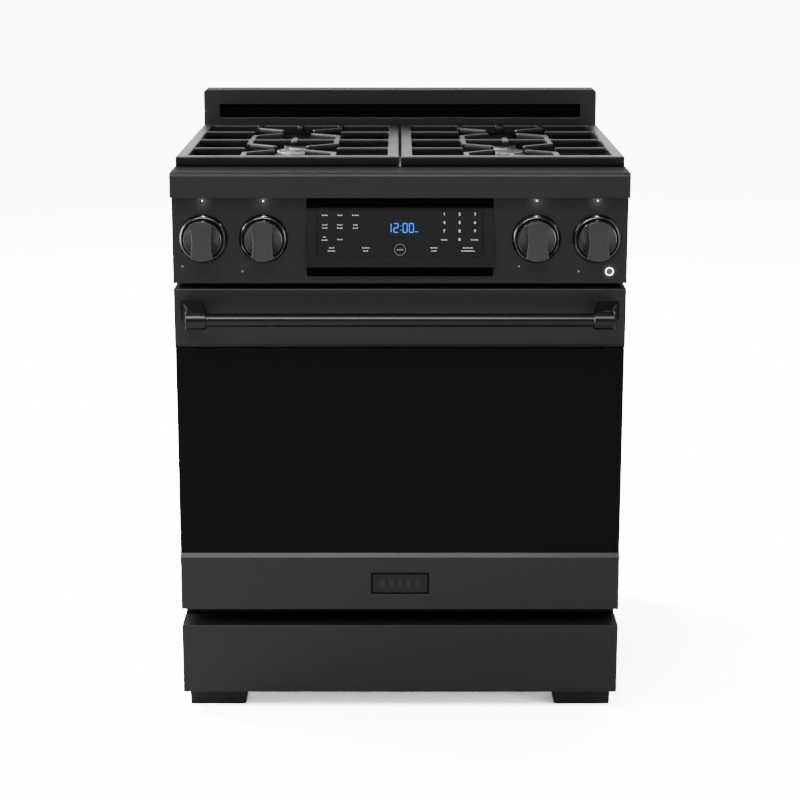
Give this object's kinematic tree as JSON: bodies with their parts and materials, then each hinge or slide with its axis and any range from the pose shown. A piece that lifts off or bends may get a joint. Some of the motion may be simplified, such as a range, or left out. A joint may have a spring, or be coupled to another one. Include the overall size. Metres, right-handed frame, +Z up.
{
  "type": "freestanding gas range",
  "caption": "Freestanding gas range with burner grates on top, a tilted control display, a drop-down glass oven door with a bar handle, and a low drawer.",
  "frame": {"origin": "on the floor, under the middle of the bounding box", "axes": "+Z up, +X to the right of someone facing the door, -Y out of the front of the door"},
  "size_m": [0.759, 0.7354, 1.033],
  "materials": {
    "black_stainless": "brushed black stainless steel, satin",
    "dark_steel": "dark painted steel, satin",
    "galvanised_steel": "galvanised sheet, dull",
    "black_enamel": "gloss black porcelain enamel",
    "oven_enamel": "dark speckled porcelain enamel",
    "cast_iron": "matte enamelled cast iron",
    "burner_aluminium": "machined aluminium",
    "bright_steel": "bright plated steel",
    "smoked_chrome": "dark polished chrome",
    "black_glass": "black backed glass, polished",
    "clear_glass": "clear heat-resistant glass",
    "gasket_fibre": "woven fibre rope",
    "button_plastic": "white translucent plastic"
  },
  "bodies": {
    "range_body": {"back_panel": "galvanised_steel", "backguard": "black_stainless", "bake_burner": "galvanised_steel", "base_pan": "galvanised_steel", "broil_burner": "bright_steel", "bullnose_rail": "black_stainless", "burner_cap_front_left": "black_enamel", "burner_cap_front_right": "black_enamel", "burner_cap_rear_left": "black_enamel", "burner_cap_rear_right": "black_enamel", "burner_front_left": "burner_aluminium", "burner_front_right": "burner_aluminium", "burner_rear_left": "burner_aluminium", "burner_rear_right": "burner_aluminium", "control_panel": "black_stainless", "convection_motor": "galvanised_steel", "cooktop_tray": "black_enamel", "display_glass": "black_glass", "display_housing": "black_stainless", "door_hinge_left": "bright_steel", "door_hinge_right": "bright_steel", "fan_cover": "oven_enamel", "foot_front_left": "dark_steel", "foot_front_right": "dark_steel", "foot_rear_left": "dark_steel", "foot_rear_right": "dark_steel", "front_frame": "dark_steel", "gas_manifold": "galvanised_steel", "knob_bezel_1": "smoked_chrome", "knob_bezel_2": "smoked_chrome", "knob_bezel_3": "smoked_chrome", "knob_bezel_4": "smoked_chrome", "oven_liner": "oven_enamel", "side_panel_left": "black_stainless", "side_panel_right": "black_stainless"},
    "door": {"door_upper_trim": "black_stainless", "door_lower_trim": "black_stainless", "door_outer_glass": "black_glass", "door_frame": "dark_steel", "door_inner_glass": "clear_glass", "door_gasket": "gasket_fibre", "handle_bar": "smoked_chrome", "handle_post_left": "smoked_chrome", "handle_post_right": "smoked_chrome"},
    "drawer": {"drawer_front": "black_stainless", "drawer_box": "galvanised_steel"},
    "valve_shaft_1": {"knob_shaft_1": "bright_steel"},
    "valve_shaft_2": {"knob_shaft_2": "bright_steel"},
    "valve_shaft_3": {"knob_shaft_3": "bright_steel"},
    "valve_shaft_4": {"knob_shaft_4": "bright_steel"},
    "knob_1": {"knob_1": "smoked_chrome"},
    "knob_2": {"knob_2": "smoked_chrome"},
    "knob_3": {"knob_3": "smoked_chrome"},
    "knob_4": {"knob_4": "smoked_chrome"},
    "power_button": {"power_button": "button_plastic"},
    "convection_fan": {"convection_fan": "bright_steel"},
    "rack_lower": {"rack_lower": "bright_steel"},
    "rack_upper": {"rack_upper": "bright_steel"},
    "grate_left": {"grate_left": "cast_iron"},
    "grate_right": {"grate_right": "cast_iron"}
  },
  "joints": [
    {"name": "door_hinge", "type": "hinge", "parent": "range_body", "child": "door", "pos_m": [0, -0.24725, 0.202], "axis": [1, 0, 0], "range_deg": [0, 90], "stiffness_Nm_per_rad": 20, "springref_deg": -17.19},
    {"name": "drawer_slide", "type": "slide", "parent": "range_body", "child": "drawer", "axis": [0, -1, 0], "range_m": [0, 0.36]},
    {"name": "knob_1_push", "type": "slide", "parent": "range_body", "child": "valve_shaft_1", "axis": [0, 1, 0], "range_m": [0, 0.003], "stiffness_N_per_m": 1500, "springref_m": -0.002},
    {"name": "knob_1_turn", "type": "hinge", "parent": "valve_shaft_1", "child": "knob_1", "pos_m": [-0.328, -0.28885, 0.84], "axis": [0, -1, 0], "range_deg": [0, 210]},
    {"name": "knob_2_push", "type": "slide", "parent": "range_body", "child": "valve_shaft_2", "axis": [0, 1, 0], "range_m": [0, 0.003], "stiffness_N_per_m": 1500, "springref_m": -0.002},
    {"name": "knob_2_turn", "type": "hinge", "parent": "valve_shaft_2", "child": "knob_2", "pos_m": [-0.2272, -0.28885, 0.84], "axis": [0, -1, 0], "range_deg": [0, 210]},
    {"name": "knob_3_push", "type": "slide", "parent": "range_body", "child": "valve_shaft_3", "axis": [0, 1, 0], "range_m": [0, 0.003], "stiffness_N_per_m": 1500, "springref_m": -0.002},
    {"name": "knob_3_turn", "type": "hinge", "parent": "valve_shaft_3", "child": "knob_3", "pos_m": [0.2272, -0.28885, 0.84], "axis": [0, -1, 0], "range_deg": [0, 210]},
    {"name": "knob_4_push", "type": "slide", "parent": "range_body", "child": "valve_shaft_4", "axis": [0, 1, 0], "range_m": [0, 0.003], "stiffness_N_per_m": 1500, "springref_m": -0.002},
    {"name": "knob_4_turn", "type": "hinge", "parent": "valve_shaft_4", "child": "knob_4", "pos_m": [0.328, -0.28885, 0.84], "axis": [0, -1, 0], "range_deg": [0, 210]},
    {"name": "power_button_push", "type": "slide", "parent": "range_body", "child": "power_button", "axis": [0, 1, 0], "range_m": [0, 0.0015], "stiffness_N_per_m": 600, "springref_m": -0.001},
    {"name": "fan_spin", "type": "hinge", "parent": "range_body", "child": "convection_fan", "pos_m": [0, 0.27275, 0.455], "axis": [0, 1, 0], "continuous": true},
    {"name": "rack_lower_slide", "type": "slide", "parent": "range_body", "child": "rack_lower", "axis": [0, -1, 0], "range_m": [0, 0.02]},
    {"name": "rack_upper_slide", "type": "slide", "parent": "range_body", "child": "rack_upper", "axis": [0, -1, 0], "range_m": [0, 0.02]},
    {"name": "grate_left_lift", "type": "slide", "parent": "range_body", "child": "grate_left", "axis": [0, 0, 1], "range_m": [0, 0.15]},
    {"name": "grate_right_lift", "type": "slide", "parent": "range_body", "child": "grate_right", "axis": [0, 0, 1], "range_m": [0, 0.15]}
  ]
}
